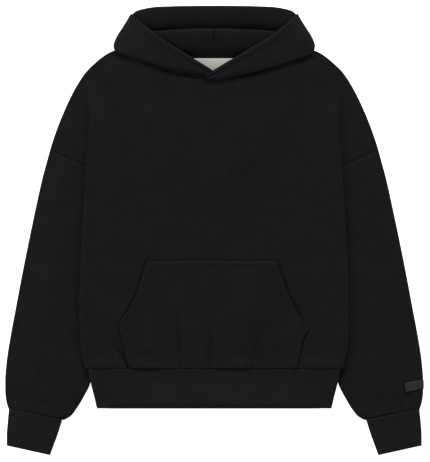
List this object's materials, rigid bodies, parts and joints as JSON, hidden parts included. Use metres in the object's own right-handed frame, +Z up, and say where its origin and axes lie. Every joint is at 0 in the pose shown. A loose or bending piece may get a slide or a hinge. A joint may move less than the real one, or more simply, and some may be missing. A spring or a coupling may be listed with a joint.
{
  "type": "pullover hoodie",
  "caption": "Pullover hoodie laid flat, front up, with a turned-out hood, kangaroo pocket, dropped shoulders, ribbed cuffs and a ribbed hem band.",
  "frame": {"origin": "centre of the footprint of the laid garment, on the surface that it lies on", "axes": "+Z up out of the front panel, +Y from the hem band to the hood, +X towards the wearer's left sleeve"},
  "size_m": [0.7954, 0.8531, 0.026],
  "materials": {
    "fleece": "matte brushed-back cotton fleece, near black",
    "rib_knit": "matte cotton rib, near black",
    "woven_label": "woven satin, light grey",
    "patch_rubber": "soft moulded rubber, charcoal"
  },
  "bodies": {
    "root": {"front": "fleece", "back": "fleece", "sleeve_left": "fleece", "sleeve_right": "fleece", "cuff_left": "rib_knit", "cuff_right": "rib_knit", "hem_band": "rib_knit", "hood_left": "fleece", "hood_right": "fleece", "pocket": "fleece", "neck_label": "woven_label", "sleeve_patch": "patch_rubber"}
  },
  "joints": []
}
